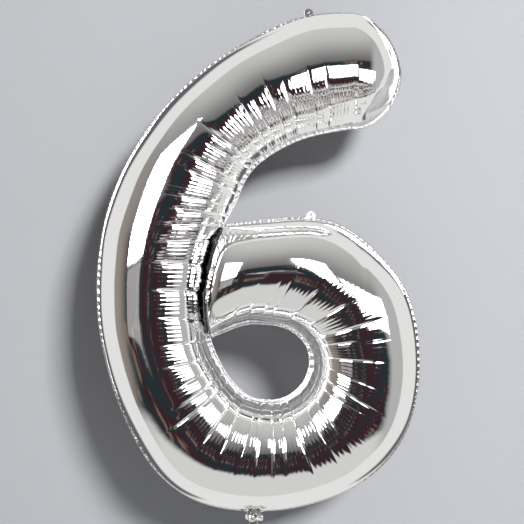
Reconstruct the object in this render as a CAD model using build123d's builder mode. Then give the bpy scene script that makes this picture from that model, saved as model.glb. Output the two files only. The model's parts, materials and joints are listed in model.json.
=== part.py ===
from build123d import *
import math
import os

os.makedirs("parts", exist_ok=True)

# Foil number balloon: a silver six made of two flat film panels welded round
# their rims and inflated, with a self-closing filling valve inside the foot
# seam, a knotted tail below it and two small ears to hang it by.
#
# Row frame: X across the digit, Y through its depth (front towards -Y),
# Z up.  The origin is the centre of the hanging eyelet in the top ear.
# Below, "sheet" coordinates have X = 0 at the middle of the digit's width and
# Z = 0 at its foot seam.  All sizes are in millimetres.

# --- driving dimensions ------------------------------------------------------
BODY_WIDTH = 558.0        # over the rim seams, left to right
BODY_HEIGHT = 860.0       # from the foot seam to the top of the arm
BOWL_HEIGHT = 507.0       # from the foot seam to the top of the bowl
TUBE_WIDTH = 193.0        # from rim seam to rim seam across the tube
TUBE_DEPTH = 176.0        # inflated thickness, front to back
FLANGE = 5.5              # welded rim outside the inflated tube
WALL = 0.8                # film wall (stands for 0.03 mm of real film)

NECK_X = -7.0             # middle of the filling neck, from the digit's middle
NECK_WIDTH = 44.0         # neck where it leaves the foot seam
GATHER_WIDTH = 20.0       # neck and tail where the knot gathers them
NECK_LENGTH = 4.5         # foot seam to the top of the knot
KNOT_WIDTH = 34.0
KNOT_DEPTH = 16.0
KNOT_HEIGHT = 15.0
TAIL_LENGTH = 52.0        # knot to the cut end of the tail
TAIL_WIDTH = 46.0         # cut end of the tail

VALVE_WIDTH = 32.0        # flat valve sleeve inside the foot of the digit
VALVE_LENGTH = 150.0
VALVE_RISE = 4.0          # start of the sleeve above the foot weld

EAR_RADIUS = 7.5          # hanging ear, half round
EAR_SHANK = 1.5           # straight part of the ear below its half round
EYELET_RADIUS = 1.8
TOP_EAR_LEAN = 8.0        # degrees the top ear leans to the left
BOWL_EAR_LEAN = -6.0      # degrees the bowl ear leans to the left

FOLD_GAP = 1.0            # each side of a fold line, so that folded edges clear

OVAL_STEPS = 10           # points that draw half of the tube's oval section

# --- outline -----------------------------------------------------------------
# The arm and the stem, from the tip down.  Each row is a station: the outer
# seam's place (share of BODY_WIDTH from the left, and height share), the
# direction from it to the inner seam (degrees), and how wide the tube is there
# (share of TUBE_WIDTH).  A height share up to 1 is a share of BOWL_HEIGHT, and
# the rest is a share of the rise from the bowl's top to the digit's top.
LIMB_ROWS = [
    (0.784, 1.995, -90, 1.04),
    (0.657, 1.9854, -82, 1.07),
    (0.536, 1.917, -72, 1.03),
    (0.413, 1.810, -60, 0.99),
    (0.304, 1.683, -48, 0.97),
    (0.212, 1.537, -35, 0.97),
    (0.134, 1.374, -23, 1.01),
    (0.073, 1.198, -12, 1.07),
    (0.036, 1.042, -3, 1.09),
    (0.014, 0.921, 0, 1.04),
    (0.002, 0.802, 0, 0.99),
    (0.002, 0.701, 1, 0.96),
]
TOP_EAR_ROW = 1

# The ring round the hole, from the left of the hole round the foot and over
# the bowl to where the bowl meets the stem: the outer seam's place (shares of
# BODY_WIDTH and BOWL_HEIGHT), and the hole's edge (shares of the hole's box).
RING_ROWS = [
    (0.017, 0.565, 0.03, 0.83),
    (0.048, 0.429, 0.09, 0.61),
    (0.104, 0.276, 0.18, 0.38),
    (0.181, 0.139, 0.28, 0.20),
    (0.304, 0.037, 0.40, 0.06),
    (0.474, 0.000, 0.56, 0.00),
    (0.629, 0.014, 0.72, 0.01),
    (0.768, 0.065, 0.85, 0.10),
    (0.876, 0.143, 0.94, 0.23),
    (0.954, 0.259, 0.99, 0.37),
    (0.994, 0.412, 1.01, 0.54),
    (0.997, 0.582, 0.99, 0.71),
    (0.963, 0.735, 0.93, 0.85),
    (0.876, 0.871, 0.81, 0.98),
    (0.768, 0.966, 0.66, 1.05),
    (0.663, 0.998, 0.50, 1.07),
    (0.521, 0.990, 0.32, 1.04),
]
BOWL_EAR_ROW = 15

# The arm's rounded end, from the tip back: each station's share of TIP_REACH,
# then its half width (share of the first row's) and its depth (share of the
# tube's).
TIP_CAP = [
    (0.93, 0.28, 0.34),
    (0.80, 0.52, 0.62),
    (0.59, 0.78, 0.82),
    (0.36, 0.93, 0.94),
]
TIP_REACH = 0.88          # the tip's reach beyond the first row, share of its half width
TIP_DROP = 0.08           # how far the tip sits towards the inner seam, same share

# The bowl's end against the stem: share of the way from the last ring row to
# the joining weld, and the depth left there.
BOWL_END = [(0.45, 0.74), (0.88, 0.28)]
JOIN_HEIGHT = 0.976           # top of the joining weld, on the stem's inner seam (share of BOWL_HEIGHT)
JOIN_FOOT = (0.02, 0.87)      # its foot, at the hole's corner (hole shares)
NOTCH_ROW = 8                 # the arm's inner seam runs free down to this limb row


# --- places worked out from the dimensions -----------------------------------
HOLE_WIDTH = BODY_WIDTH - 2 * TUBE_WIDTH
HOLE_HEIGHT = BOWL_HEIGHT - 2 * TUBE_WIDTH


def limb_station(x, z, direction, width):
    """Outer and inner seam points of an arm or stem station, in sheet millimetres."""
    height = min(z, 1) * BOWL_HEIGHT + max(z - 1, 0) * (BODY_HEIGHT - BOWL_HEIGHT)
    outer = Vector((x - 0.5) * BODY_WIDTH, 0, height)
    turn = math.radians(direction)
    inner = outer + Vector(math.cos(turn), 0, math.sin(turn)) * (width * TUBE_WIDTH)
    return outer, inner


def bowl_point(x, z):
    """A point on the ring's outer seam."""
    return Vector((x - 0.5) * BODY_WIDTH, 0, z * BOWL_HEIGHT)


def hole_point(x, z):
    """A point on the hole's edge."""
    return Vector((x - 0.5) * HOLE_WIDTH, 0, TUBE_WIDTH + z * HOLE_HEIGHT)


def inner_seam_at(height, stations):
    """The point of the stem's inner seam at a height, between the two stations round it."""
    seam = [inner for outer, inner in stations]
    for above, below in zip(seam, seam[1:]):
        if above.Z >= height >= below.Z:
            return below + (above - below) * ((height - below.Z) / (above.Z - below.Z))
    raise ValueError("the joining weld's top is off the stem")


limb = [limb_station(*row) for row in LIMB_ROWS]
ring = [(bowl_point(row[0], row[1]), hole_point(row[2], row[3])) for row in RING_ROWS]
join_top = inner_seam_at(JOIN_HEIGHT * BOWL_HEIGHT, limb)


def ear_place(root, lean):
    """Plane at a seam point with its Y axis pointing out of the digit and its normal forwards."""
    turn = math.radians(lean)
    return Plane(origin=root, x_dir=(math.cos(turn), 0, math.sin(turn)), z_dir=(0, -1, 0))


top_ear_plane = ear_place(limb[TOP_EAR_ROW][0], TOP_EAR_LEAN)
EYELET_REACH = 2 * FOLD_GAP + EAR_SHANK     # seam edge to the eyelet's centre
ORIGIN = top_ear_plane.from_local_coords(Vector(0, EYELET_REACH, 0))


def placed(point):
    """Sheet coordinates to the row frame, whose origin is the top eyelet."""
    return Vector(point.X - ORIGIN.X, point.Y, point.Z - ORIGIN.Z)


limb = [(placed(outer), placed(inner)) for outer, inner in limb]
ring = [(placed(outer), placed(inner)) for outer, inner in ring]
join_top = placed(join_top)
join_foot = placed(hole_point(*JOIN_FOOT))
neck_root = placed(Vector(NECK_X, 0, 0))

# The tip's half width, and the direction the arm points in at its end.
first_outer, first_inner = limb[0]
tip_half = (first_outer - first_inner).length / 2
tip_middle = (first_outer + first_inner) / 2
across = (first_inner - first_outer).normalized()
ahead = Vector(-across.Z, 0, across.X)
tip_point = tip_middle + ahead * (tip_half * TIP_REACH) + across * (tip_half * TIP_DROP)


def tip_stations():
    """The rounded tip's sections, from the tip back, as (outer, inner, depth share)."""
    stations = []
    for reach, width, depth in TIP_CAP:
        middle = tip_middle + (tip_point - tip_middle) * reach
        half = across * (tip_half * width)
        stations.append((middle - half, middle + half, depth))
    return stations


def tube_stations():
    """Every tube section from the tip to the bowl's end, as (outer, inner, depth share)."""
    stations = tip_stations()
    for outer, inner in limb + ring:
        stations.append((outer, inner, 1.0))
    last_outer, last_inner = ring[-1]
    for share, depth in BOWL_END:
        outer = last_outer + (join_top - last_outer) * share
        inner = last_inner + (join_foot - last_inner) * share
        stations.append((outer, inner, depth))
    return stations


def section_plane(outer, inner):
    """Plane across the tube: its X axis runs from the outer seam to the inner one."""
    way = (inner - outer).normalized()
    return Plane(origin=(outer + inner) / 2, x_dir=way, z_dir=(way.Z, 0, -way.X))


def flat(points):
    """Points of the sheet in the plane of the rim."""
    return [(point.X, point.Z) for point in points]


def half_oval(half_width, depth):
    """Points over a half oval from one seam to the other, without its two ends."""
    turns = [math.pi * step / OVAL_STEPS for step in range(1, OVAL_STEPS)]
    return [(half_width * math.cos(turn), depth * math.sin(turn)) for turn in turns]


# The rim sheet's outline: the outer seam from the tip to the joining weld, the
# arm's inner seam back to the tip, and the hole's edge with its one corner.
tip = tip_stations()
outer_seam = [tip_point] + [outer for outer, inner, depth in tip]
outer_seam += [outer for outer, inner in limb + ring] + [join_top]
arm_seam = [join_top] + [inner for outer, inner in reversed(limb[:NOTCH_ROW])]
arm_seam += [inner for outer, inner, depth in reversed(tip)] + [tip_point]
hole_edge = [join_foot] + [inner for outer, inner in ring] + [join_foot]

# --- front panel: half the inflated tube with its welded rim ---------------------
with BuildPart() as front_panel:
    with BuildSketch(Plane.XZ):
        with BuildLine():
            Spline(*flat(outer_seam))
            Spline(*flat(arm_seam))
        make_face()
        with BuildLine():
            Spline(*flat(hole_edge))
        make_face(mode=Mode.SUBTRACT)
    extrude(amount=WALL)
    # The half tube is added solid, then its cavity is taken out a wall inside it.
    for inset, change in ((0.0, Mode.ADD), (WALL, Mode.SUBTRACT)):
        for outer, inner, depth in tube_stations():
            half_width = (inner - outer).length / 2 - FLANGE - inset
            half_depth = depth * TUBE_DEPTH / 2 - inset
            with BuildSketch(section_plane(outer, inner)):
                with BuildLine():
                    Spline((half_width, 0), *half_oval(half_width, half_depth), (-half_width, 0))
                    Line((-half_width, 0), (half_width, 0))
                make_face()
        loft(mode=change)

# --- back panel: the same film, facing the other way -----------------------------
with BuildPart() as back_panel:
    mirror(front_panel.part, about=Plane.XZ)

# --- filling valve: two flat films inside the foot, open at the top ---------------
valve_foot = neck_root + Vector(0, 0, FLANGE + WALL + VALVE_RISE)
valve_middle = (valve_foot.X, valve_foot.Z + FOLD_GAP + VALVE_LENGTH / 2)

with BuildPart() as valve_front_film:
    with BuildSketch(Plane.XZ):
        with Locations(valve_middle):
            Rectangle(VALVE_WIDTH, VALVE_LENGTH)
    extrude(amount=WALL)

with BuildPart() as valve_back_film:
    mirror(valve_front_film.part, about=Plane.XZ)

# --- neck: the films run out of the foot seam and are drawn into the knot ---------
fold_z = neck_root.Z - FOLD_GAP
neck_top = neck_root.Z - 2 * FOLD_GAP
knot_top = neck_root.Z - NECK_LENGTH
knot_bottom = knot_top - KNOT_HEIGHT

with BuildPart() as neck_front_film:
    with BuildSketch(Plane.XZ):
        with BuildLine():
            Polyline(
                (neck_root.X - NECK_WIDTH / 2, neck_top),
                (neck_root.X + NECK_WIDTH / 2, neck_top),
                (neck_root.X + GATHER_WIDTH / 2, knot_top),
                (neck_root.X - GATHER_WIDTH / 2, knot_top),
                close=True,
            )
        make_face()
    extrude(amount=WALL)

with BuildPart() as neck_back_film:
    mirror(neck_front_film.part, about=Plane.XZ)

# --- knot: the gathered film tied over itself -------------------------------------
KNOT_SHAPE = [(0.0, 0.64), (0.22, 0.90), (0.5, 1.0), (0.78, 0.90), (1.0, 0.64)]

with BuildPart() as tail_knot:
    for share, girth in KNOT_SHAPE:
        height = knot_bottom + share * KNOT_HEIGHT
        with BuildSketch(Plane.XY.offset(height)):
            with Locations((neck_root.X, 0)):
                Ellipse(girth * KNOT_WIDTH / 2, girth * KNOT_DEPTH / 2)
    loft()

# --- tail: the two films spread again below the knot -------------------------------
tail_fold_z = knot_bottom - FOLD_GAP
tail_top = knot_bottom - 2 * FOLD_GAP

with BuildPart() as tail_front_film:
    with BuildSketch(Plane.XZ):
        with BuildLine():
            Polyline(
                (neck_root.X - GATHER_WIDTH / 2, tail_top),
                (neck_root.X + GATHER_WIDTH / 2, tail_top),
                (neck_root.X + TAIL_WIDTH / 2, tail_top - TAIL_LENGTH),
                (neck_root.X - TAIL_WIDTH / 2, tail_top - TAIL_LENGTH),
                close=True,
            )
        make_face()
    extrude(amount=WALL)

with BuildPart() as tail_back_film:
    mirror(tail_front_film.part, about=Plane.XZ)

# --- hanging ears: half-round tongues of both films with an eyelet ------------------
top_ear = Plane(origin=(0, 0, 0), x_dir=top_ear_plane.x_dir, z_dir=(0, -1, 0))
bowl_ear_plane = ear_place(ring[BOWL_EAR_ROW][0], BOWL_EAR_LEAN)
bowl_ear = Plane(
    origin=bowl_ear_plane.from_local_coords(Vector(0, EYELET_REACH, 0)),
    x_dir=bowl_ear_plane.x_dir,
    z_dir=(0, -1, 0),
)

ear_films = {}
for ear_name, ear_plane in (("top_ear", top_ear), ("bowl_ear", bowl_ear)):
    with BuildPart() as ear_front_film:
        with BuildSketch(ear_plane):
            Circle(EAR_RADIUS)
            Rectangle(2 * EAR_RADIUS, EAR_SHANK, align=(Align.CENTER, Align.MAX))
            with Locations((0, -EAR_SHANK)):
                Rectangle(4 * EAR_RADIUS, 4 * EAR_RADIUS, align=(Align.CENTER, Align.MAX), mode=Mode.SUBTRACT)
            Circle(EYELET_RADIUS, mode=Mode.SUBTRACT)
        extrude(amount=WALL)
    with BuildPart() as ear_back_film:
        mirror(ear_front_film.part, about=Plane.XZ)
    ear_films[f"{ear_name}_front_film"] = ear_front_film
    ear_films[f"{ear_name}_back_film"] = ear_back_film

# --- write each piece ----------------------------------------------------------------
pieces = {
    "front_panel": front_panel,
    "back_panel": back_panel,
    "valve_front_film": valve_front_film,
    "valve_back_film": valve_back_film,
    "neck_front_film": neck_front_film,
    "neck_back_film": neck_back_film,
    "tail_knot": tail_knot,
    "tail_front_film": tail_front_film,
    "tail_back_film": tail_back_film,
    **ear_films,
}
for name, piece in pieces.items():
    piece.part.label = name
    export_step(piece.part, f"parts/{name}.step")

# --- places that the mounts and fold lines use ------------------------------------------
print("bowl eyelet:", bowl_ear.origin)
print("top ear's fold:", placed(ORIGIN) - top_ear.y_dir * (EYELET_REACH - FOLD_GAP), top_ear.x_dir)
print("bowl ear's fold:", bowl_ear.origin - bowl_ear.y_dir * (EYELET_REACH - FOLD_GAP), bowl_ear.x_dir)
print("valve's fold:", valve_foot)
print("neck's fold:", neck_root.X, fold_z)
print("tail's fold:", neck_root.X, tail_fold_z)
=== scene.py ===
import json
import logging
import math
from dataclasses import dataclass
from enum import Enum
from typing import Any, Sequence

import bpy
import numpy as np
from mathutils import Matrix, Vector


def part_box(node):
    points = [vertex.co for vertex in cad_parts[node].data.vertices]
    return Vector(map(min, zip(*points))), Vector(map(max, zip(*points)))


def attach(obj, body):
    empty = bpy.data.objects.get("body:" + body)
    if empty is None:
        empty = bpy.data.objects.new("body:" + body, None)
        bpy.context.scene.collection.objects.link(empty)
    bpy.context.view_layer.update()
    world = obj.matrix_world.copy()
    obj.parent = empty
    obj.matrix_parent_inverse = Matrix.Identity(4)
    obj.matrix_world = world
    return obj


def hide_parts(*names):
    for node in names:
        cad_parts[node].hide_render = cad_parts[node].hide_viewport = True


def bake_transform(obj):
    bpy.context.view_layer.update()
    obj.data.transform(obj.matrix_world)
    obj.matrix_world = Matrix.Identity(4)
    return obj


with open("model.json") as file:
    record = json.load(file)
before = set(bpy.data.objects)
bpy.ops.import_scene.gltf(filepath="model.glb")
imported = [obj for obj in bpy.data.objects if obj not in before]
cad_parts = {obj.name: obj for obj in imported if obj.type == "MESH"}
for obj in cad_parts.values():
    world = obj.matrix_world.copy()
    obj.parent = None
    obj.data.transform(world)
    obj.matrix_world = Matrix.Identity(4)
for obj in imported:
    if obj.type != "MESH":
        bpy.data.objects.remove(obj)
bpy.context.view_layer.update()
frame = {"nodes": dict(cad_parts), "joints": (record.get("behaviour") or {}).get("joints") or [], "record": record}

Array = np.ndarray
LOG = logging.getLogger("foil_six")
MM = 0.001
MEAN_SINE = 0.64        # mean of |sin|, taken off folds so that the film keeps its girth


class Side(Enum):
    """Which of the two welded panels a film belongs to."""

    FRONT = -1
    BACK = 1


# --- curves and random fields ------------------------------------------------------


def smooth_curve(knots: Array, points: Array, at: Array) -> Array:
    """Natural cubic spline: each piece is a cubic, with equal slope and bend where pieces meet.

    Args:
        knots: rising parameter of each point.
        points: the points, one row each.
        at: parameters wanted.

    Returns:
        One row per wanted parameter.
    """
    gap = np.diff(knots)
    count = len(knots)
    inner = np.arange(1, count - 1)
    system = np.eye(count)
    system[inner, inner - 1] = gap[:-1]
    system[inner, inner] = 2 * (gap[:-1] + gap[1:])
    system[inner, inner + 1] = gap[1:]
    wanted = np.zeros_like(points)
    wanted[1:-1] = 6 * np.diff(np.diff(points, axis=0) / gap[:, None], axis=0)
    bend = np.linalg.solve(system, wanted)
    piece = np.clip(np.searchsorted(knots, at, side="right") - 1, 0, count - 2)
    width = gap[piece][:, None]
    left = (knots[piece + 1] - at)[:, None]
    right = (at - knots[piece])[:, None]
    cubic = (bend[piece] * left**3 + bend[piece + 1] * right**3) / (6 * width)
    from_left = (points[piece] / width - bend[piece] * width / 6) * left
    from_right = (points[piece + 1] / width - bend[piece + 1] * width / 6) * right
    return cubic + from_left + from_right


def ease(value: Array) -> Array:
    """Smooth step from 0 to 1: 3v^2 - 2v^3 of the value held between 0 and 1."""
    held = np.clip(value, 0.0, 1.0)
    return held * held * (3 - 2 * held)


def wander(at: Array, pitch: float, rng: np.random.Generator) -> Array:
    """Smooth random line: random values a pitch apart, eased from one to the next."""
    low = float(at.min())
    count = int((float(at.max()) - low) / pitch) + 3
    values = rng.uniform(-1.0, 1.0, count)
    place = (at - low) / pitch
    first = place.astype(int)
    return values[first] + (values[first + 1] - values[first]) * ease(place - first)


def uneven_steps(length: float, pitch: float, spread: float, rng: np.random.Generator) -> Array:
    """Places of folds along a length, each step the pitch give or take a share of it."""
    count = int(length / (pitch * (1 - spread))) + 4
    return np.concatenate([[0.0], np.cumsum(pitch * rng.uniform(1 - spread, 1 + spread, count))])


def unit(vectors: Array) -> Array:
    """Vectors over their own length, left as they are where they have none."""
    size = np.linalg.norm(vectors, axis=-1, keepdims=True)
    return vectors / np.where(size < 1e-12, 1.0, size)


# --- meshes -----------------------------------------------------------------------


def grid_faces(columns: int, rows: int, closed_rows: bool) -> Array:
    """Quads of a columns by rows grid of points, numbered column by column."""
    column = np.arange(columns - 1)[:, None]
    row = np.arange(rows if closed_rows else rows - 1)[None, :]
    after = (row + 1) % rows
    return np.stack(
        [column * rows + row, (column + 1) * rows + row, (column + 1) * rows + after, column * rows + after],
        axis=-1,
    ).reshape(-1, 4)


def signed_volume(points: Array, quads: Array) -> float:
    """Sum over the quads' triangles of a sixth of their corners' triple product."""
    total = 0.0
    for second, third in ((1, 2), (2, 3)):
        a, b, c = points[quads[:, 0]], points[quads[:, second]], points[quads[:, third]]
        total += float(np.einsum("ij,ij->i", a, np.cross(b, c)).sum()) / 6
    return total


def make_mesh(name: str, points: Array, quads: Array, caps: Sequence[Sequence[int]] = ()) -> bpy.types.Object:
    """A smooth closed mesh from points, quads and end caps, turned so that its faces point outwards.

    Args:
        name: the piece's name.
        points: one row per point, in metres in the row frame.
        quads: four point numbers per row.
        caps: closing faces, as lists of point numbers.

    Returns:
        The new object, at the origin.
    """
    if signed_volume(points, quads) < 0:
        quads = quads[:, ::-1]
        caps = [list(cap)[::-1] for cap in caps]
    mesh = bpy.data.meshes.new(name)
    mesh.from_pydata(points.tolist(), [], quads.tolist() + [list(cap) for cap in caps])
    mesh.polygons.foreach_set("use_smooth", np.ones(len(mesh.polygons), bool))
    mesh.update()
    made = bpy.data.objects.new(name, mesh)
    bpy.context.scene.collection.objects.link(made)
    return made


def store(piece: bpy.types.Object, name: str, values: Array) -> None:
    """One number per point, which a finish can read by its name."""
    layer = piece.data.attributes.new(name, "FLOAT", "POINT")
    layer.data.foreach_set("value", values.astype(np.float32).ravel())


def store_uv(piece: bpy.types.Object, along: Array, around: Array) -> None:
    """A UV map in metres: along the piece, and around or across it."""
    mesh = piece.data
    corner = np.empty(len(mesh.loops), np.int32)
    mesh.loops.foreach_get("vertex_index", corner)
    pairs = np.stack([along.ravel()[corner], around.ravel()[corner]], axis=-1)
    mesh.uv_layers.new(name="film").data.foreach_set("uv", pairs.astype(np.float32).ravel())


def surface_normals(grid: Array) -> Array:
    """Unit cross product of the grid's two directions, by central differences."""
    return unit(np.cross(np.gradient(grid, axis=0), np.gradient(grid, axis=1)))


def film_sheet(name: str, grid: Array, thickness: float) -> bpy.types.Object:
    """A thin closed sheet: a grid of points, the same grid a thickness below it, and a rim between.

    Args:
        name: the piece's name.
        grid: columns by rows by three coordinates.
        thickness: the film's thickness in metres.

    Returns:
        The new object, with a UV map in metres and a "weld" attribute of 0.
    """
    columns, rows = grid.shape[:2]
    under = grid - surface_normals(grid) * thickness
    # Each column is a closed loop: over the top grid's rows, then back under them.
    loop = np.concatenate([grid, under[:, ::-1]], axis=1)
    ring = 2 * rows
    caps = [range(ring)[::-1], range((columns - 1) * ring, columns * ring)]
    piece = make_mesh(name, loop.reshape(-1, 3), grid_faces(columns, ring, True), caps)
    steps = np.linalg.norm(np.diff(loop, axis=1, prepend=loop[:, :1]), axis=-1)
    across = np.cumsum(steps, axis=1)
    strides = np.linalg.norm(np.diff(loop[:, 0], axis=0, prepend=loop[:1, 0]), axis=-1)
    along = np.cumsum(strides)[:, None] + np.zeros_like(across)
    store_uv(piece, along, across)
    store(piece, "weld", np.zeros(columns * ring))
    return piece


# --- finishes ---------------------------------------------------------------------


class Wire:
    """A socket that does arithmetic: each operator adds the Math node that it names."""

    def __init__(self, board: "Board", socket: Any) -> None:
        """Hold a socket of a board."""
        self.board = board
        self.socket = socket

    def _math(self, operation: str, first: Any, second: Any) -> "Wire":
        """A Math node of two values."""
        return self.board.node("ShaderNodeMath", {"operation": operation}, {0: first, 1: second})

    def __add__(self, other: Any) -> "Wire":
        """Sum."""
        return self._math("ADD", self, other)

    __radd__ = __add__

    def __rsub__(self, other: Any) -> "Wire":
        """Another value less this one."""
        return self._math("SUBTRACT", other, self)

    def __mul__(self, other: Any) -> "Wire":
        """Product."""
        return self._math("MULTIPLY", self, other)

    __rmul__ = __mul__

    def over(self, low: float, high: float) -> "Wire":
        """Smooth step from 0 at low to 1 at high."""
        return self.board.node(
            "ShaderNodeMapRange",
            {"interpolation_type": "SMOOTHSTEP", "clamp": True},
            {"Value": self, "From Min": low, "From Max": high},
        )


class Board:
    """A node tree with one method that adds any node."""

    def __init__(self, tree: bpy.types.NodeTree) -> None:
        """Start from an empty tree."""
        self.tree = tree
        tree.nodes.clear()

    def node(self, kind: str, settings: dict[str, Any], sockets: dict[Any, Any], out: Any = 0) -> Wire:
        """Add a node.

        Args:
            kind: the node's type.
            settings: its properties, set before its sockets.
            sockets: values or wires, by socket name or number.
            out: the output wanted.

        Returns:
            That output.
        """
        made = self.tree.nodes.new(kind)
        for name, value in settings.items():
            setattr(made, name, value)
        for name, value in sockets.items():
            if isinstance(value, Wire):
                self.tree.links.new(value.socket, made.inputs[name])
            else:
                made.inputs[name].default_value = value
        return Wire(self, made.outputs[out] if len(made.outputs) else None)

    def blend(self, factor: Any, first: Any, second: Any) -> Wire:
        """Colour mix of first and second."""
        return self.node("ShaderNodeMix", {"data_type": "RGBA"}, {0: factor, 6: first, 7: second}, 2)


Colour = tuple[float, float, float, float]


def clear_from_behind(board: Board, shader: Wire) -> Wire:
    """A shader that only a face's front shows; its back lets everything through."""
    clear = board.node("ShaderNodeBsdfTransparent", {}, {})
    behind = board.node("ShaderNodeNewGeometry", {}, {}, "Backfacing")
    return board.node("ShaderNodeMixShader", {}, {0: behind, 1: shader, 2: clear})


@dataclass(frozen=True)
class FoilFinish:
    """Mirror-bright metallised film, duller where the seam was pressed."""

    name: str = "silver_foil"
    colour: Colour = (0.93, 0.93, 0.925, 1.0)
    pressed_colour: Colour = (0.84, 0.84, 0.85, 1.0)
    roughness: float = 0.045
    pressed_roughness: float = 0.13
    crinkle_size: float = 0.011
    crinkle_height: float = 0.00012
    press_pitch: float = 0.0012

    def make(self) -> bpy.types.Material:
        """Build the material.

        Returns:
            A metallic material: film crinkles as bump, and a pressed weld band.
        """
        material = bpy.data.materials.new(self.name)
        material.use_nodes = True
        board = Board(material.node_tree)
        place = board.node("ShaderNodeTexCoord", {}, {}, "Object")
        film = board.node("ShaderNodeUVMap", {"uv_map": "film"}, {}, "UV")
        weld = board.node("ShaderNodeAttribute", {"attribute_name": "weld"}, {}, "Fac")
        cycles = 1 / self.crinkle_size
        broad = board.node("ShaderNodeTexNoise", {}, {"Vector": place, "Scale": cycles / 6}, 0)
        fine = board.node("ShaderNodeTexNoise", {}, {"Vector": place, "Scale": cycles, "Detail": 2.0}, 0)
        ribs = board.node(
            "ShaderNodeTexWave",
            {"wave_type": "BANDS", "bands_direction": "DIAGONAL"},
            {"Vector": film, "Scale": 0.3 / self.press_pitch, "Distortion": 0.4},
            1,
        )
        pressed = weld.over(0.2, 0.8)
        height = fine * self.crinkle_height + ribs * pressed * (0.25 * self.press_pitch)
        bump = board.node("ShaderNodeBump", {}, {"Strength": 0.35, "Distance": 1.0, "Height": height})
        gloss = self.roughness + broad * (0.5 * self.roughness) + pressed * self.pressed_roughness
        tone = board.blend(pressed, self.colour, self.pressed_colour)
        shader = board.node(
            "ShaderNodeBsdfPrincipled",
            {},
            {"Base Color": tone, "Metallic": 1.0, "Roughness": gloss, "Normal": bump},
        )
        board.node("ShaderNodeOutputMaterial", {}, {"Surface": shader})
        return material


@dataclass(frozen=True)
class SleeveFinish:
    """Cloudy film of the filling valve."""

    name: str = "valve_film"
    colour: Colour = (0.80, 0.83, 0.86, 1.0)
    stripe: Colour = (0.60, 0.66, 0.74, 1.0)
    roughness: float = 0.42

    def make(self) -> bpy.types.Material:
        """Build the material.

        Returns:
            A cloudy film with faint draw lines along its length.
        """
        material = bpy.data.materials.new(self.name)
        material.use_nodes = True
        board = Board(material.node_tree)
        place = board.node("ShaderNodeTexCoord", {}, {}, "Object")
        lines = board.node("ShaderNodeTexWave", {"bands_direction": "X"}, {"Vector": place, "Scale": 90.0}, 1)
        cloud = board.node("ShaderNodeTexNoise", {}, {"Vector": place, "Scale": 60.0, "Detail": 3.0}, 0)
        tone = board.blend(lines * 0.25 + cloud * 0.35, self.colour, self.stripe)
        bump = board.node("ShaderNodeBump", {}, {"Strength": 0.3, "Distance": 0.0004, "Height": cloud})
        shader = board.node(
            "ShaderNodeBsdfPrincipled",
            {},
            {"Base Color": tone, "Roughness": self.roughness + cloud * 0.1, "Normal": bump},
        )
        board.node("ShaderNodeOutputMaterial", {}, {"Surface": shader})
        return material


@dataclass(frozen=True)
class PaintFinish:
    """Plain pale paint of the wall and floor."""

    name: str
    colour: Colour
    roughness: float = 0.8

    def make(self) -> bpy.types.Material:
        """Build the material.

        Returns:
            Matte paint with a faint roller texture, clear from behind.
        """
        material = bpy.data.materials.new(self.name)
        material.use_nodes = True
        board = Board(material.node_tree)
        place = board.node("ShaderNodeTexCoord", {}, {}, "Object")
        grain = board.node("ShaderNodeTexNoise", {}, {"Vector": place, "Scale": 400.0, "Detail": 2.0}, 0)
        bump = board.node("ShaderNodeBump", {}, {"Strength": 0.05, "Distance": 0.001, "Height": grain})
        shader = board.node(
            "ShaderNodeBsdfPrincipled",
            {},
            {"Base Color": self.colour, "Roughness": self.roughness, "Normal": bump},
        )
        board.node("ShaderNodeOutputMaterial", {}, {"Surface": clear_from_behind(board, shader)})
        return material


@dataclass(frozen=True)
class PatchyFinish:
    """A glowing card of pale and dark patches for the foil to mirror, clear from behind."""

    name: str = "patchy_card"
    pale: Colour = (0.78, 0.78, 0.77, 1.0)
    dark: Colour = (0.085, 0.070, 0.078, 1.0)
    warm: Colour = (0.26, 0.12, 0.14, 1.0)
    patches: float = 17.0

    def make(self) -> bpy.types.Material:
        """Build the material.

        Returns:
            A black surface whose glow varies in soft patches.
        """
        material = bpy.data.materials.new(self.name)
        material.use_nodes = True
        board = Board(material.node_tree)
        place = board.node("ShaderNodeTexCoord", {}, {}, "Object")
        sockets = {"Vector": place, "Scale": self.patches, "Detail": 2.0}
        patch = board.node("ShaderNodeTexNoise", {}, sockets, 0)
        glow = board.blend(patch.over(0.45, 0.53), self.dark, self.pale)
        glow = board.blend(patch.over(0.60, 0.63), glow, self.warm)
        shader = board.node(
            "ShaderNodeBsdfPrincipled",
            {},
            {
                "Base Color": (0.0, 0.0, 0.0, 1.0),
                "Specular IOR Level": 0.0,
                "Emission Color": glow,
                "Emission Strength": 1.0,
            },
        )
        board.node("ShaderNodeOutputMaterial", {}, {"Surface": clear_from_behind(board, shader)})
        return material


# --- the digit's outline ---------------------------------------------------------------


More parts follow.
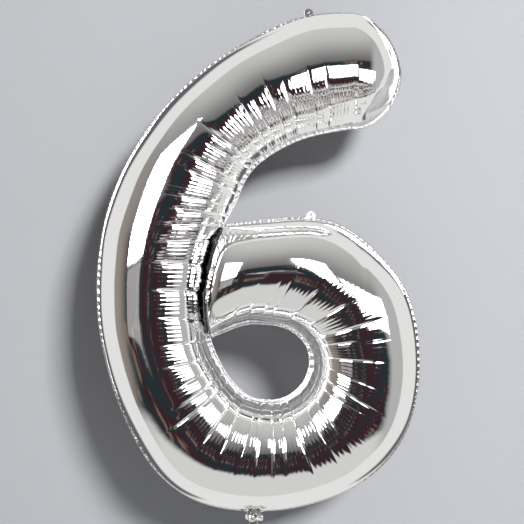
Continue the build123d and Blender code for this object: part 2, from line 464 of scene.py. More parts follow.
@dataclass
class Outline:
    """The digit's seams and the tube's stations, in metres in the row frame."""

    tube_width: float = 0.193
    bowl_share: float = 0.5895      # the bowl's height over the digit's
    tip_reach: float = 0.88
    tip_drop: float = 0.08
    tip_squareness: float = 1.12
    weld: float = 0.0055
    join_weld: float = 0.0010
    end_round: float = 0.050
    join_gap: float = 0.0012
    tip_columns: int = 84
    run_columns: int = 1340
    end_columns: int = 64
    # Arm and stem from the tip down: the outer seam's place (shares of width and
    # height), the direction to the inner seam (degrees), the width (share).
    limb_rows: tuple = (
        (0.784, 0.998, -90, 1.04),
        (0.657, 0.994, -82, 1.07),
        (0.536, 0.966, -72, 1.03),
        (0.413, 0.922, -60, 0.99),
        (0.304, 0.870, -48, 0.97),
        (0.212, 0.810, -35, 0.97),
        (0.134, 0.743, -23, 1.01),
        (0.073, 0.671, -12, 1.07),
        (0.036, 0.607, -3, 1.09),
        (0.014, 0.543, 0, 1.04),
        (0.002, 0.473, 0, 0.99),
        (0.002, 0.413, 1, 0.96),
    )
    # The ring: the outer seam (shares of width and bowl height), the hole's edge
    # (shares of the hole's box).
    ring_rows: tuple = (
        (0.017, 0.565, 0.03, 0.83),
        (0.048, 0.429, 0.09, 0.61),
        (0.104, 0.276, 0.18, 0.38),
        (0.181, 0.139, 0.28, 0.20),
        (0.304, 0.037, 0.40, 0.06),
        (0.474, 0.000, 0.56, 0.00),
        (0.629, 0.014, 0.72, 0.01),
        (0.768, 0.065, 0.85, 0.10),
        (0.876, 0.143, 0.94, 0.23),
        (0.954, 0.259, 0.99, 0.37),
        (0.994, 0.412, 1.01, 0.54),
        (0.997, 0.582, 0.99, 0.71),
        (0.963, 0.735, 0.93, 0.85),
        (0.876, 0.871, 0.81, 0.98),
        (0.768, 0.966, 0.66, 1.05),
        (0.663, 0.998, 0.50, 1.07),
        (0.521, 0.990, 0.32, 1.04),
        (0.400, 0.976, 0.02, 0.87),
    )
    # Station numbers between which the stem's weld narrows, and then widens again.
    join_rows: tuple = (7.6, 8.6, 11.4, 12.2)
    fold_closed: float = math.radians(0.4)    # angle left open at the tip's and the end's poles
    fullness_of_depth: float = 0.965          # the film's depth over the panel box's

    def __post_init__(self) -> None:
        """Work out the stations from the front panel's box in the frame."""
        low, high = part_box("front_panel")
        self.left, self.foot = low.x, low.z
        self.width, self.height = high.x - low.x, high.z - low.z
        self.half_depth = self.fullness_of_depth * (high.y - low.y)
        bowl = self.bowl_share * self.height
        hole = np.array([self.width, bowl]) - 2 * self.tube_width
        start = np.array([self.left, self.foot])
        limb = np.array(self.limb_rows, float)
        ring = np.array(self.ring_rows, float)
        limb_outer = start + limb[:, :2] * [self.width, self.height]
        turn = np.radians(limb[:, 2:3])
        limb_inner = limb_outer + np.hstack([np.cos(turn), np.sin(turn)]) * limb[:, 3:4] * self.tube_width
        ring_outer = start + ring[:, :2] * [self.width, bowl]
        ring_inner = start + self.tube_width + ring[:, 2:] * hole
        self.hole_middle = start + self.tube_width + 0.5 * hole
        self.outer = np.vstack([limb_outer, ring_outer])
        self.inner = np.vstack([limb_inner, ring_inner])
        middle = (self.outer + self.inner) / 2
        self.knots = np.concatenate([[0.0], np.cumsum(np.linalg.norm(np.diff(middle, axis=0), axis=1))])
        self.length = float(self.knots[-1])
        self.across = unit(self.inner[0] - self.outer[0])
        self.ahead = np.array([-self.across[1], self.across[0]])
        self.tip_half = float(np.linalg.norm(self.inner[0] - self.outer[0])) / 2
        self.tip_middle = middle[0]
        self._columns()

    def _columns(self) -> None:
        """Lay the columns: the rounded tip, the run, and the bowl's rounded end.

        In the tip, at angle f from its point, the section stands cos f of the reach
        ahead and is sin f wide.  In the bowl's end, at angle g, it stands cos g of
        the rounding short of the join and is sin g deep.
        """
        tip_turn = np.linspace(self.fold_closed, math.pi / 2, self.tip_columns, endpoint=False)
        run = np.linspace(0.0, self.length - self.end_round, self.run_columns, endpoint=False)
        end_turn = np.linspace(math.pi / 2, self.fold_closed, self.end_columns)
        run = np.concatenate([run, self.length - self.end_round * (1 - np.cos(end_turn))])
        outer = smooth_curve(self.knots, self.outer, run)
        inner = smooth_curve(self.knots, self.inner, run)
        number = np.interp(run, self.knots, np.arange(len(self.knots)))
        narrow = np.interp(number, self.join_rows, [0.0, 1.0, 1.0, 0.0])
        inner_weld = self.weld + (self.join_weld - self.weld) * ease(narrow)
        out = unit(outer - inner)
        reach = np.cos(tip_turn)[:, None]
        girth = (np.sin(tip_turn) ** self.tip_squareness)[:, None]
        shift = self.ahead * self.tip_reach + self.across * self.tip_drop
        tip_middle = self.tip_middle + shift * reach * self.tip_half
        tip_back = self.ahead * reach * self.weld
        tip_side = self.across * girth * (self.tip_half - self.weld)
        self.outer_edge = np.vstack([tip_middle - tip_back - tip_side, outer - out * self.weld])
        self.inner_edge = np.vstack([tip_middle - tip_back + tip_side, inner + out * inner_weld[:, None]])
        self.inner_weld = np.concatenate([np.full(self.tip_columns, self.weld), inner_weld])
        end_depth = np.concatenate([np.ones(self.run_columns), np.sin(end_turn)])
        self.depth = np.concatenate([np.sin(tip_turn) ** 0.95, end_depth])
        arc = self.tip_reach * self.tip_half
        self.run = np.concatenate([-arc * np.cos(tip_turn), run])
        self.closing = ease((self.run - (self.length - self.end_round)) / self.end_round)
        self.out = unit(self.outer_edge - self.inner_edge)
        joined = (number > self.join_rows[0]) & (number < self.join_rows[3])
        self.join_seam = inner[joined][::-1]

    def join_line(self, share: Array) -> Array:
        """Points just clear of the stem's inner seam, from the hole's corner (0) up to the notch (1)."""
        low, high = self.inner_edge[-1, 1], self.outer_edge[-1, 1]
        height = low + (high - low) * share
        side = np.interp(height, self.join_seam[:, 1], self.join_seam[:, 0]) + self.join_gap
        return np.stack([side, height], axis=-1)

    def seam_normals(self) -> tuple[Array, Array]:
        """Unit normals of the outer and the inner seam, out of the tube, in the seam plane."""
        outer_way = unit(np.gradient(self.outer_edge, axis=0))
        inner_way = unit(np.gradient(self.inner_edge, axis=0))
        outer = np.stack([outer_way[:, 1], -outer_way[:, 0]], axis=-1)
        inner = np.stack([-inner_way[:, 1], inner_way[:, 0]], axis=-1)
        return outer, inner


# --- panels ----------------------------------------------------------------------------


@dataclass
class Pleats:
    """Where and how strongly the film gathers along the tube.

    The tables give, at shares of the run from the tip, the angle round the
    section at which the pleats begin (0 at the outer seam, 180 at the inner) and
    their height.
    """

    pitch: float = 7.4 * MM
    pitch_spread: float = 0.14
    height: float = 0.38 * MM
    valley: float = 0.72                    # power of |sin|: below 1, rounder backs and sharper valleys
    pleat_mean: float = 0.70                # mean of the pleats' profile, taken off
    pleat_ramp: float = 0.26                # radians over which a pleat rises
    start_scatter: float = 0.05             # radians
    lead: float = 0.15                      # run laid before the tip and past the end
    crease_height: float = 2.7 * MM
    crease_width: float = 1.9 * MM
    crease_pitch: float = 36.0 * MM
    flat_width: float = 9.5 * MM            # of the broad flat beside a crease
    pucker_pitch: float = 12.0 * MM
    pucker_height: float = 0.85 * MM
    pucker_reach: float = 0.15              # radians from the outer seam
    drift_height: float = 0.75 * MM
    drift_waves: int = 7
    drift_length: tuple = (0.07, 0.24)
    shares: tuple = (0.00, 0.10, 0.22, 0.42, 0.50, 0.58, 0.66, 0.80, 0.86, 0.93, 1.00)
    starts: tuple = (104, 93, 91, 96, 92, 76, 68, 66, 74, 108, 116)
    heights: tuple = (0.70, 1.00, 1.10, 1.15, 1.00, 0.72, 0.62, 0.68, 0.75, 0.45, 0.35)

    def field(self, outline: Outline, turn: Array, seed: int) -> Array:
        """Height of the gathered film over the smooth tube.

        The sum of: rounded pleats |sin| with sharp valleys, long cusped creases,
        puckers by the outer seam and a slow drift.

        Args:
            outline: the digit's columns.
            turn: angle of each row round the section, in radians.
            seed: makes the two panels differ.

        Returns:
            Columns by rows, in metres, positive outwards.
        """
        rng = np.random.default_rng(seed)
        run = outline.run[:, None]
        share = np.clip(outline.run / outline.length, 0, 1)
        begin = np.radians(np.interp(share, self.shares, self.starts))[:, None]
        strength = np.interp(share, self.shares, self.heights)[:, None]
        place = turn[None, :]
        total = np.zeros((len(outline.run), len(turn)))
        folds = uneven_steps(outline.length + 2 * self.lead, self.pitch, self.pitch_spread, rng) - self.lead
        phase = np.interp(run, folds, np.arange(len(folds)))
        number = phase.astype(int)
        tall = rng.uniform(0.60, 1.20, len(folds))
        first = rng.normal(0.0, self.start_scatter, len(folds))
        # Neighbouring pleats share their edge, so each quantity eases across it.
        blend = ease(phase - number)
        tall = tall[number] + (tall[number + 1] - tall[number]) * blend
        first = first[number] + (first[number + 1] - first[number]) * blend
        ramp = ease((place - begin - first) / self.pleat_ramp)
        profile = np.abs(np.sin(np.pi * phase)) ** self.valley - self.pleat_mean
        total += self.height * strength * tall * ramp * profile
        total += self.creases(outline, place, begin, strength, rng)
        knots = uneven_steps(outline.length + 2 * self.lead, self.pucker_pitch, 0.35, rng) - self.lead
        pucker = np.abs(np.sin(np.pi * np.interp(run, knots, np.arange(len(knots)))))
        uneven = 0.65 + 0.35 * wander(outline.run, 0.05, rng)[:, None]
        total += self.pucker_height * uneven * (pucker - MEAN_SINE) * np.exp(-place / self.pucker_reach)
        for _ in range(self.drift_waves):
            wave = rng.uniform(*self.drift_length)
            slant = rng.uniform(-0.6, 0.6)
            size = self.drift_height * rng.uniform(0.3, 1.0) * wave / 0.16
            start = rng.uniform(0, 6.3)
            total += size * np.sin(2 * np.pi * (run + slant * 0.09 * place) / wave + start) / 2.2
        return total

    def creases(
        self, outline: Outline, place: Array, begin: Array, strength: Array, rng: np.random.Generator
    ) -> Array:
        """Long creases: each a cusp exp(-|d| / width) deep, with a broad flat beside it.

        Args:
            outline: the digit's columns.
            place: angle of each row, as one row.
            begin: angle at which the pleats begin, one per column.
            strength: the gathers' strength, one per column.
            rng: the panel's random numbers.

        Returns:
            Columns by rows, in metres, negative inwards.
        """
        total = np.zeros((len(outline.run), place.shape[1]))
        for middle in uneven_steps(outline.length, self.crease_pitch, 0.45, rng):
            if middle > outline.length:
                break
            deep = self.crease_height * rng.uniform(0.35, 1.0)
            early = rng.uniform(-0.05, 0.35)
            slant = rng.uniform(-0.010, 0.010)
            away = outline.run[:, None] - middle - slant * (place - 2.2)
            ramp = ease((place - begin + early) / 0.5) * (0.35 + 0.65 * strength)
            total -= deep * ramp * np.exp(-np.abs(away) / self.crease_width)
            total -= 0.25 * deep * ramp * np.exp(-((away / self.flat_width) ** 2))
        return total


@dataclass
class Panel:
    """One of the two films, inflated, with its welded rim."""

    outline: Outline
    pleats: Pleats
    side: Side
    seed: int
    film: float = 0.3 * MM
    rows: int = 52
    fullness: float = 0.94
    lining: float = 3.2 * MM
    lining_rows: int = 7
    ripple_pitch: float = 11.0 * MM
    ripple: float = 1.25 * MM
    scallop: float = 0.8 * MM
    rim_seed: int = 5
    seam_gap: float = 0.05 * MM             # from the seam plane to the film's inside
    join_pitch: float = 8.5 * MM
    join_fold: float = 1.3 * MM
    join_reach: float = 0.030
    tip_fold: float = 1.1 * MM
    # Flats pressed into the arm's tip: bearing from straight ahead, in radians, and depth.
    facets: tuple = ((0.50, 5.0 * MM), (-0.42, 3.5 * MM), (1.25, 2.5 * MM))

    def turns(self) -> Array:
        """Row angles round the half section, closer together at the seams."""
        even = np.linspace(0.0, 1.0, self.rows)
        return math.pi * (even - 0.10 * np.sin(2 * math.pi * even) / (2 * math.pi) * 2.2)

    def tube(self, turn: Array, shrink: float) -> Array:
        """Smooth half tube: cos of the angle across, sin of it (to a power) in depth.

        Args:
            turn: row angles.
            shrink: distance inside the film.

        Returns:
            Columns by rows by three, in metres.
        """
        line = self.outline
        middle = (line.outer_edge + line.inner_edge) / 2
        half = np.linalg.norm(line.outer_edge - line.inner_edge, axis=1) / 2
        half = np.maximum(half - shrink, 0.3 * half)
        depth = np.maximum(line.depth * line.half_depth - shrink, 0.3 * line.depth * line.half_depth)
        wide = np.cos(turn)[None, :, None]
        flat = middle[:, None] + line.out[:, None] * half[:, None, None] * wide
        closing = line.closing[:, None, None]
        flat = flat + (line.join_line((np.cos(turn) + 1) / 2)[None] - flat) * closing
        deep = self.film + depth[:, None] * np.sin(turn)[None] ** self.fullness
        return np.stack([flat[..., 0], self.side.value * deep, flat[..., 1]], axis=-1)

    def dents(self, grid: Array) -> Array:
        """Folds that spread from the neck, and radial folds round the arm's tip."""
        line = self.outline
        low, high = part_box("neck_front_film")
        neck = np.array([(low.x + high.x) / 2, line.foot])
        flat = grid[..., [0, 2]]
        away = flat - neck
        far = np.linalg.norm(away, axis=-1)
        angle = np.arctan2(away[..., 0], away[..., 1] + 0.004)
        total = 1.5 * MM * np.sin(9 * angle + 0.6) * np.exp(-((far / 0.024) ** 2))
        total -= 2.2 * MM * np.exp(-((far / 0.017) ** 2))
        away = flat - line.tip_middle
        forward = (away * line.ahead).sum(-1)
        sideways = (away * line.across).sum(-1)
        out = np.hypot(forward, sideways) / line.tip_half
        angle = np.arctan2(sideways, forward)
        fold = np.abs(np.sin(8.5 * angle + 0.35 * np.sin(3 * angle))) - MEAN_SINE
        total += self.tip_fold * fold * ease((out - 0.62) / 0.3) * ease(forward / 0.02)
        for bearing, deep in self.facets:
            facet = (away * (math.cos(bearing) * line.ahead + math.sin(bearing) * line.across)).sum(-1)
            step = ease((facet - 0.56 * line.tip_half) / (0.12 * line.tip_half))
            total -= deep * step * ease((1.05 - out) / 0.2)
        return total + self.join_puckers(grid)

    def join_puckers(self, grid: Array) -> Array:
        """Small folds square to the joining weld, fading within a few centimetres of it."""
        line = self.outline
        short = (line.length - line.run)[:, None]
        height = grid[..., 2]
        uneven = 1.2 * np.sin(height / 0.031)
        fold = np.abs(np.sin(math.pi * height / self.join_pitch + uneven)) - MEAN_SINE
        return self.join_fold * fold * ease(1 - short / self.join_reach)

    def rim(self, edge: Array, normal: Array, width: Array, reach: float, seed: int) -> Array:
        """A line of the welded rim, rippled out of the seam plane and scalloped in it.

        Args:
            edge: the tube's edge.
            normal: its outward normal.
            width: the rim's width at each column.
            reach: share of the width at which the line lies.
            seed: makes the two rims differ; both panels share it.

        Returns:
            Columns by three, in metres, on the seam plane apart from the ripple.
        """
        rng = np.random.default_rng(seed)
        run = np.concatenate([[0.0], np.cumsum(np.linalg.norm(np.diff(edge, axis=0), axis=1))])
        knots = uneven_steps(run[-1], self.ripple_pitch, 0.4, rng)
        phase = np.interp(run, knots, np.arange(len(knots)))
        wave = np.sin(2 * np.pi * phase) * (0.6 + 0.4 * wander(run, 0.04, rng))
        notch = np.abs(np.sin(np.pi * phase + 0.7)) - 0.5
        out = (width + self.scallop * notch * width / self.outline.weld) * reach
        lift = self.ripple * wave * reach * width / self.outline.weld
        flat = edge + normal * out[:, None]
        return np.stack([flat[:, 0], lift, flat[:, 1]], axis=-1)

    def build(self) -> bpy.types.Object:
        """Make the panel: the film outside, a plain lining inside it, one closed wall.

        Returns:
            The panel as an object.
        """
        line = self.outline
        turn = self.turns()
        smooth = self.tube(turn, 0.0)
        lift = self.pleats.field(line, turn, self.seed) + self.dents(smooth)
        normal = surface_normals(smooth)
        normal *= np.sign(normal[..., 1:2].mean()) * self.side.value
        settle = np.minimum(1.0, line.depth / 0.35)[:, None] * ease(np.minimum(turn, math.pi - turn) / 0.06)
        skin = smooth + normal * (lift * settle)[..., None]
        outer_normal, inner_normal = line.seam_normals()
        outer_width = np.full(len(line.run), line.weld)
        face = np.array([0.0, self.side.value * self.film, 0.0])
        back = np.array([0.0, self.side.value * self.seam_gap, 0.0])
        outer_rims = [
            self.rim(line.outer_edge, outer_normal, outer_width, reach, self.rim_seed)
            for reach in (1.0, 0.5, 0.0)
        ]
        inner_rims = [
            self.rim(line.inner_edge, inner_normal, line.inner_weld, reach, self.rim_seed + 1)
            for reach in (0.0, 0.5, 1.0)
        ]
        lining_turn = np.linspace(math.pi, 0.0, self.lining_rows)[1:-1]
        lining = self.tube(lining_turn, self.lining)
        loop = np.concatenate(
            [
                (outer_rims[0] + face)[:, None],
                (outer_rims[1] + face)[:, None],
                skin,
                (inner_rims[1] + face)[:, None],
                (inner_rims[2] + face)[:, None],
                (inner_rims[2] + back)[:, None],
                (inner_rims[0] + back)[:, None],
                lining,
                (outer_rims[2] + back)[:, None],
                (outer_rims[0] + back)[:, None],
            ],
            axis=1,
        )
        columns, ring = loop.shape[:2]
        caps = [range(ring)[::-1], range((columns - 1) * ring, columns * ring)]
        name = "front_foil_panel" if self.side is Side.FRONT else "back_foil_panel"
        piece = make_mesh(name, loop.reshape(-1, 3), grid_faces(columns, ring, True), caps)
        weld = np.zeros((columns, ring))
        weld[:, :2] = 1.0
        weld[:, 2 + self.rows :] = 1.0
        store(piece, "weld", weld)
        around = np.cumsum(np.linalg.norm(np.diff(loop, axis=1, prepend=loop[:, :1]), axis=-1), axis=1)
        store_uv(piece, line.run[:, None] + np.zeros_like(around), around)
        return piece


# --- neck, knot and tail -----------------------------------------------------------------


@dataclass
class Foot:
    """The gathered neck, the knot and the tail below the foot seam."""

    outline: Outline
    film: float = 0.3 * MM
    folds: float = 4.5
    tail_folds: float = 3.5
    ribbon_half: tuple = (3.9 * MM, 2.3 * MM)       # the knot's ribbon, across and through
    ribbon_length: float = 0.12
    ribbon_girth: float = 0.02
    gathered_half: float = 5.5 * MM                 # half the neck's width where the knot takes it in
    neck_hem: float = 5.0 * MM                      # how far the neck reaches up over the foot seam
    columns: int = 120
    rows: int = 44

    def __post_init__(self) -> None:
        """Read the CAD pieces' places from the frame."""
        low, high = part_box("neck_front_film")
        self.middle = (low.x + high.x) / 2
        self.neck_half = (high.x - low.x) / 2
        self.fold_z = high.z + 1.0 * MM
        knot_low, knot_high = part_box("tail_knot")
        self.knot_low, self.knot_high = knot_low, knot_high
        tail_low, tail_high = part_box("tail_front_film")
        self.tail_half = (tail_high.x - tail_low.x) / 2
        self.tail_end = tail_low.z
        self.tail_fold_z = tail_high.z + 1.0 * MM

    def neck(self, side: Side) -> bpy.types.Object:
        """The neck's film: across it, folds of rising depth; down it, drawn in to the knot.

        Args:
            side: front or back.

        Returns:
            The neck as an object.
        """
        across = np.linspace(-1.0, 1.0, self.columns)[:, None]
        down = np.linspace(0.0, 1.0, self.rows)[None, :]
        top = self.outline.foot + self.neck_hem
        bottom = (self.knot_high.z + self.knot_low.z) / 2
        half = self.neck_half + (self.gathered_half - self.neck_half) * ease(down / 0.62)
        x = self.middle + half * across + 0.6 * MM * np.sin(9 * across + 5 * down)
        wave = np.sin(2 * np.pi * self.folds * (across + 0.07 * np.sin(4 * down)) + side.value)
        depth = (0.7 + 2.4 * ease(down / 0.55)) * MM
        y = side.value * (1.0 * MM + depth * (1.05 + wave) * (1 - 0.6 * across**2))
        z = top + (bottom - top) * down + 1.2 * MM * np.cos(2 * np.pi * self.folds * across) * (1 - down)
        grid = np.stack(np.broadcast_arrays(x, y, z), axis=-1)
        return film_sheet(f"neck_{side.name.lower()}_foil", grid, self.film)

    def tail(self, side: Side) -> bpy.types.Object:
        """The tail's film: a fan whose folds grow and turn as they spread to the cut end.

        Args:
            side: front or back.

        Returns:
            The tail as an object.
        """
        across = np.linspace(-1.0, 1.0, self.columns)[:, None]
        down = np.linspace(0.0, 1.0, self.rows + 16)[None, :]
        top = self.knot_low.z + 5.0 * MM
        spread = ease(down / 0.9)
        half = 5.0 * MM + (self.tail_half - 5.5 * MM) * spread
        shift = side.value * 0.9
        phase = 2 * np.pi * self.tail_folds * across + shift + 1.3 * down
        fold = (2.2 + 3.6 * spread) * MM * (1 - 0.35 * across**2)
        x = self.middle + half * across + 0.35 * fold * np.sin(2 * phase + 0.5)
        bow = 2.5 * MM * spread * np.sin(2.1 * across + 0.4)
        y = side.value * (1.4 * MM + fold * (1.0 + np.sin(phase)) * 0.8) + bow
        ragged = 1.6 * MM * np.sin(7 * across + 1.5 * side.value) * down
        z = top + (self.tail_end + 1.8 * MM - top) * down + ragged
        grid = np.stack(np.broadcast_arrays(x, y, z), axis=-1)
        return film_sheet(f"tail_{side.name.lower()}_foil", grid, self.film)

    def knot(self) -> bpy.types.Object:
        """The knot: a pleated ribbon carried along a three-lobed knot.

        The path is (sin u + 2 sin 2u, cos u - 2 cos 2u, -sin 3u), scaled to the knot's
        box; the ribbon's section is an oval with ridges along it.

        Returns:
            The knot as an object.
        """
        steps, ring = 300, 40
        u = np.linspace(0, 2 * np.pi, steps, endpoint=False)
        low = np.array(self.knot_low)
        high = np.array(self.knot_high)
        middle, half = (low + high) / 2, (high - low) / 2
        wide, thick = self.ribbon_half
        lobes = [np.sin(u) + 2 * np.sin(2 * u), -np.sin(3 * u), np.cos(u) - 2 * np.cos(2 * u)]
        path = np.stack(lobes, axis=-1)
        path = path / np.abs(path).max(axis=0) * (half - [wide, thick, wide]) + middle
        way = unit(np.roll(path, -1, axis=0) - np.roll(path, 1, axis=0))
        outward = unit(path - middle)
        outward = unit(outward - (outward * way).sum(-1, keepdims=True) * way)
        side = np.cross(way, outward)
        v = np.linspace(0, 2 * np.pi, ring, endpoint=False)
        ridge = 1 + 0.16 * np.sin(7 * v[None] + 2 * np.sin(3 * u[:, None])) + 0.06 * np.sin(11 * u[:, None])
        points = (
            path[:, None]
            + side[:, None] * (wide * np.cos(v) * ridge)[..., None]
            + outward[:, None] * (thick * np.sin(v) * ridge)[..., None]
        )
        quads = grid_faces(steps + 1, ring, True) % (steps * ring)
        piece = make_mesh("tail_knot_foil", points.reshape(-1, 3), quads)
        store(piece, "weld", np.zeros(steps * ring))
        every = np.zeros((steps, ring))
        along = np.linspace(0, self.ribbon_length, steps)[:, None] + every
        store_uv(piece, along, np.linspace(0, self.ribbon_girth, ring)[None] + every)
        return piece


# --- hanging ears --------------------------------------------------------------------------


@dataclass
class Ear:
    """A half-round tongue of both films with an eyelet, on the seam."""

    body: str
    mount: str
    joint: str
    film: float = 0.3 * MM
    radius: float = 7.5 * MM
    eyelet: float = 1.8 * MM
    root: float = 6.0 * MM
    tuck: float = 2.5 * MM                  # length of the shank below the root

    def frame(self) -> tuple[Array, Array, Array]:
        """The eyelet's centre, the way across the ear and the way out of the digit."""
        record = frame["record"]
        mount = next(m for m in record["mounts"] if m["name"] == self.mount)
        joint = next(j for j in frame["joints"] if j["name"] == self.joint)
        across = unit(np.array(joint["axis"], float))
        return np.array(mount["pos_m"], float), across, np.cross(across, [0.0, 1.0, 0.0])

    def build(self, side: Side) -> bpy.types.Object:
        """Make one film of the ear: rings from the eyelet's edge out to the tongue's edge.

        The edge is a circle above the eyelet and a straight-sided, flared shank below it.

        Args:
            side: front or back.

        Returns:
            The film as an object.
        """
        centre, across, out = self.frame()
        turn = np.linspace(0, 2 * np.pi, 97)[:-1][:, None]
        cosine, sine = np.cos(turn), np.sin(turn)
        to_side = self.radius / np.maximum(np.abs(cosine), 1e-6)
        to_root = (self.root + self.tuck) / np.maximum(-sine, 1e-6)
        edge = np.where(sine > 0, self.radius, np.minimum(to_side, to_root))
        share = np.linspace(0.0, 1.0, 12)[None, :]
        reach = self.eyelet + (edge - self.eyelet) * share
        x, z = reach * cosine, reach * sine
        x = x * (1 + 0.30 * ease((-z - 0.4 * self.root) / self.root))
        ruffle = 0.35 * MM * np.sin(x / (2.6 * MM)) * ease((z + 4 * MM) / (8 * MM)) * share
        curl = 0.10 * MM * (z / self.radius) ** 2 + ruffle
        lip = 0.25 * MM * np.exp(-((reach - self.eyelet) / (0.5 * MM)) ** 2)
        y = side.value * (0.05 * MM + self.film + lip) + curl
        top = centre + x[..., None] * across + z[..., None] * out + y[..., None] * [0, 1.0, 0]
        under = top - [0.0, side.value * self.film, 0.0]
        loop = np.concatenate([top, under[:, ::-1]], axis=1)
        columns, ring = loop.shape[:2]
        whole = np.concatenate([loop, loop[:1]], axis=0)
        quads = grid_faces(len(whole), ring, True) % (columns * ring)
        piece = make_mesh(f"{self.body}_{side.name.lower()}_foil", loop.reshape(-1, 3), quads)
        store(piece, "weld", np.full(columns * ring, 0.75))
        store_uv(piece, loop @ across, loop @ out)
        return piece


# --- studio ---------------------------------------------------------------------------------


Corners = list[tuple[float, float, float]]


def upright(left: float, right: float, bottom: float, top: float, depth: float) -> Corners:
    """Corners of an upright card that faces the front."""
    return [(left, depth, bottom), (right, depth, bottom), (right, depth, top), (left, depth, top)]


def level(left: float, right: float, front: float, back: float, height: float) -> Corners:
    """Corners of a level card that faces up."""
    return [(left, front, height), (right, front, height), (right, back, height), (left, back, height)]


@dataclass(frozen=True)
class Room:
    """Colours of the room that the foil mirrors."""

    wine: Colour = (0.040, 0.017, 0.023, 1.0)
    slate: Colour = (0.018, 0.031, 0.037, 1.0)
    wood: Colour = (0.17, 0.12, 0.095, 1.0)
    ceiling_edge: Colour = (0.13, 0.125, 0.125, 1.0)
    ceiling: Colour = (0.62, 0.62, 0.61, 1.0)
    floor: Colour = (0.66, 0.66, 0.65, 1.0)
    right_wall: Colour = (0.46, 0.46, 0.46, 1.0)
    left_wall: Colour = (0.30, 0.27, 0.24, 1.0)
    surround: Colour = (0.80, 0.80, 0.79, 1.0)
    rear_middle: Colour = (0.035, 0.030, 0.034, 1.0)
    rear_top: Colour = (0.36, 0.36, 0.36, 1.0)
    rear_foot: Colour = (0.60, 0.60, 0.60, 1.0)
    left_curtain: Colour = (0.13, 0.12, 0.125, 1.0)
    right_curtain: Colour = (0.13, 0.125, 0.12, 1.0)
    ground: Colour = (0.60, 0.60, 0.61, 1.0)        # what the camera sees past the set
    withheld: float = 0.95                          # share of the room's light kept from matte surfaces


@dataclass(frozen=True)
class Lamp:
    """A soft rectangular lamp that faces the digit.

    A mirrored lamp shows only in the foil and lights nothing matte.
    """

    name: str
    place: tuple[float, float, float]       # from the digit's middle
    size: tuple[float, float]               # width and height
    power: float
    mirrored: bool = True


LAMPS = (
    Lamp("key", (2.7, -4.5, 2.6), (1.3, 1.3), 380.0, False),
    Lamp("window", (-1.42, -1.85, 0.62), (1.15, 1.1), 40.0),
    Lamp("curtain", (-1.42, -1.85, -0.25), (1.0, 0.55), 0.55),
    Lamp("rear_window", (1.1, 1.9, 0.9), (0.9, 1.3), 30.0),
    Lamp("rear_strip", (-0.9, 2.2, 0.1), (0.25, 1.6), 9.0),
    Lamp("tip_box", (0.24, -0.87, 0.21), (0.18, 0.32), 0.8),
    Lamp("bowl_box", (0.66, -0.80, 0.08), (0.62, 0.36), 2.6),
)


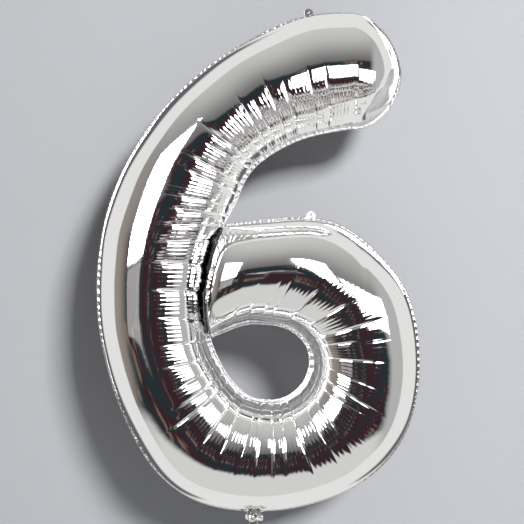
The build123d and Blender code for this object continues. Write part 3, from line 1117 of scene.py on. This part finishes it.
@dataclass
class Studio:
    """Camera, wall, floor, soft light, and a plain room for the foil to mirror."""

    outline: Outline
    distance: float = 1.5
    view_width: float = 0.903
    aim: tuple = (0.0065, 0.4291)           # right of the digit's middle, and up from its foot
    wall_gap: float = 0.030                 # behind the film
    floor_drop: float = 0.85
    reach: float = 3.0                      # half the wall's width
    shelf_span: tuple = (-0.14, 0.62, -0.62, -0.10)     # left and right of the middle, front and back
    shelf_drop: float = 0.02
    hole_card_half: tuple = (0.14, 0.13)
    hole_card_depth: float = 0.105

    def __post_init__(self) -> None:
        """The point that the camera looks at."""
        line = self.outline
        right, up = self.aim
        self.centre = Vector((line.left + line.width / 2 + right, 0.0, line.foot + up))

    def camera(self) -> None:
        """A level camera in front of the digit."""
        lens = bpy.data.cameras.new("camera")
        lens.sensor_width = 36.0
        lens.lens = lens.sensor_width * self.distance / self.view_width
        holder = bpy.data.objects.new("camera", lens)
        holder.location = self.centre + Vector((0.0, -self.distance, 0.0))
        holder.rotation_euler = (math.pi / 2, 0.0, 0.0)
        bpy.context.scene.collection.objects.link(holder)
        bpy.context.scene.camera = holder

    def card(
        self,
        name: str,
        corners: Corners,
        finish: PaintFinish | PatchyFinish,
        mirrored: bool = False,
    ) -> None:
        """A flat stage card; a mirrored one shows only in the foil, any other shows everywhere else."""
        mesh = bpy.data.meshes.new(name)
        mesh.from_pydata(corners, [], [(0, 1, 2, 3)])
        made = bpy.data.objects.new(name, mesh)
        mesh.materials.append(finish.make())
        made.visible_glossy = mirrored
        made.visible_camera = made.visible_diffuse = made.visible_shadow = not mirrored
        bpy.context.scene.collection.objects.link(made)

    def light(self, lamp: Lamp) -> None:
        """Hang a lamp, turned to the digit's middle."""
        source = bpy.data.lights.new(lamp.name, "AREA")
        source.shape = "RECTANGLE"
        source.size, source.size_y = lamp.size
        source.energy = lamp.power
        holder = bpy.data.objects.new(lamp.name, source)
        holder.visible_glossy = lamp.mirrored
        holder.visible_diffuse = not lamp.mirrored
        holder.visible_camera = False
        place = Vector(lamp.place)
        holder.location = self.centre + place
        holder.rotation_euler = (-place).to_track_quat("-Z", "Y").to_euler()
        bpy.context.scene.collection.objects.link(holder)

    def sky(self) -> None:
        """Room light, by the direction that a ray leaves in: right, back and up.

        Pale sides and floor, a ceiling that brightens upwards, a dark room in
        front with faint tints, and dark curtains behind.  The camera itself sees
        a plain pale ground, and matte surfaces take little light from the room.
        """
        world = bpy.data.worlds.new("room")
        bpy.context.scene.world = world
        world.use_nodes = True
        board = Board(world.node_tree)
        way = board.node("ShaderNodeTexCoord", {}, {}, "Generated")
        right, back, up = [board.node("ShaderNodeSeparateXYZ", {}, {0: way}, axis) for axis in "XYZ"]
        room = Room()
        tint = board.node("ShaderNodeTexNoise", {}, {"Vector": way, "Scale": 3.2, "Detail": 3.0}, 0)
        patch = board.node("ShaderNodeTexNoise", {}, {"Vector": way, "Scale": 5.5, "Detail": 2.0}, 0)
        tone = board.blend(tint.over(0.42, 0.60), room.wine, room.slate)
        tone = board.blend(patch.over(0.58, 0.66), tone, room.wood)
        ceiling = board.blend(up.over(0.05, 1.10), room.ceiling_edge, room.ceiling)
        tone = board.blend(up.over(0.15, 0.23), tone, ceiling)
        tone = board.blend(up.over(-0.46, -0.56), tone, room.floor)
        tone = board.blend(right.over(0.62, 0.80), tone, room.right_wall)
        tone = board.blend(right.over(-0.70, -0.96), tone, room.left_wall)
        tone = board.blend(back.over(-0.215, -0.165), tone, room.surround)
        rear = board.blend(up.over(-0.02, 0.42), room.rear_middle, room.rear_top)
        rear = board.blend(up.over(-0.10, -0.34), rear, room.rear_foot)
        tone = board.blend(back.over(0.80, 0.88), tone, rear)
        behind = back.over(0.40, 0.60)
        left_curtain = behind * right.over(-0.20, -0.32) * right.over(-0.76, -0.64)
        tone = board.blend(left_curtain, tone, room.left_curtain)
        right_curtain = behind * right.over(0.34, 0.46) * right.over(0.74, 0.62)
        tone = board.blend(right_curtain, tone, room.right_curtain)
        camera_ray = board.node("ShaderNodeLightPath", {}, {}, "Is Camera Ray")
        matte_bounces = board.node("ShaderNodeLightPath", {}, {}, "Diffuse Depth")
        matte_ray = matte_bounces.over(0.0, 1.0)
        tone = board.blend(camera_ray, tone, room.ground)
        strength = 1 - matte_ray * room.withheld
        shader = board.node("ShaderNodeBackground", {}, {"Color": tone, "Strength": strength})
        board.node("ShaderNodeOutputWorld", {}, {"Surface": shader})

    def build(self) -> None:
        """Make the whole set."""
        line = self.outline
        wall = line.half_depth + self.wall_gap
        floor = line.foot - self.floor_drop
        middle = self.centre.x
        left, right = middle - self.reach, middle + self.reach
        pale = PaintFinish("pale_wall", (0.56, 0.57, 0.60, 1.0))
        ground = PaintFinish("pale_floor", (0.62, 0.62, 0.63, 1.0))
        self.card("wall", upright(left, right, floor, floor + self.reach, wall), pale)
        self.card("floor", level(left, right, -self.reach, wall, floor), ground)
        from_left, from_right, front, back = self.shelf_span
        shelf = level(middle + from_left, middle + from_right, front, back, self.centre.z - self.shelf_drop)
        self.card("shelf_card", shelf, PatchyFinish(), True)
        # Painted shade in reflection: a grey glowing card behind the hole, seen only in the foil, stands in for
        # the wall in shadow there.
        low = line.hole_middle - self.hole_card_half
        high = line.hole_middle + self.hole_card_half
        backing = upright(float(low[0]), float(high[0]), float(low[1]), float(high[1]), self.hole_card_depth)
        shadowed_wall_glow = PatchyFinish(
            name="hole_card",
            pale=(0.36, 0.36, 0.37, 1.0),
            dark=(0.16, 0.16, 0.17, 1.0),
            warm=(0.30, 0.29, 0.29, 1.0),
            patches=22.0,
        )
        self.card("hole_card", backing, shadowed_wall_glow, True)
        for lamp in LAMPS:
            self.light(lamp)
        self.camera()
        self.sky()
        bpy.context.scene.view_settings.view_transform = "Standard"


# --- putting it together ---------------------------------------------------------------------


def dress(piece: bpy.types.Object, finish: bpy.types.Material, nodes: Sequence[str]) -> None:
    """Give a piece its finish, hide the CAD nodes it stands for, and log them."""
    piece.data.materials.append(finish)
    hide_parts(*nodes)
    LOG.info("%s: %d faces, for %s", piece.name, len(piece.data.polygons), ", ".join(nodes))


def point(x: float, y: float, z: float) -> tuple[float, float, float]:
    """Three coordinates as plain numbers."""
    return float(x), float(y), float(z)


def main() -> None:
    """Build the digit, its foot and its ears, and the studio round them."""
    logging.basicConfig(level=logging.INFO, format="%(name)s: %(message)s")
    outline = Outline()
    Studio(outline).build()
    foil = FoilFinish().make()
    sleeve = SleeveFinish().make()
    for side, node, seed in ((Side.FRONT, "front_panel", 11), (Side.BACK, "back_panel", 29)):
        panel = Panel(outline, Pleats(), side, seed).build()
        dress(panel, foil, [node])
        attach(panel, "balloon")
    foot = Foot(outline)
    for side in Side:
        word = side.name.lower()
        neck = foot.neck(side)
        dress(neck, foil, [f"neck_{word}_film"])
        above = point(foot.middle, 0, foot.fold_z + 3 * MM)
        below = point(foot.middle, 0, foot.fold_z - 3 * MM)
        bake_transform(neck)
        tail = foot.tail(side)
        dress(tail, foil, [f"tail_{word}_film"])
        above = point(foot.middle, 0, foot.tail_fold_z + 3 * MM)
        below = point(foot.middle, 0, foot.tail_fold_z - 5 * MM)
        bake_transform(tail)
    knot = foot.knot()
    dress(knot, foil, ["tail_knot"])
    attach(knot, "neck")
    for body, mount in (("top_ear", "top_eyelet"), ("bowl_ear", "bowl_eyelet")):
        ear = Ear(body, mount, f"{body}_fold")
        centre, _, out = ear.frame()
        for side in Side:
            film = ear.build(side)
            dress(film, foil, [f"{body}_{side.name.lower()}_film"])
            below, above = centre - out * 4.0 * MM, centre - out * 1.5 * MM
            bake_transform(film)
    for node in ("valve_front_film", "valve_back_film"):
        frame["nodes"][node].data.materials.clear()
        frame["nodes"][node].data.materials.append(sleeve)


if __name__ == "__main__":
    main()
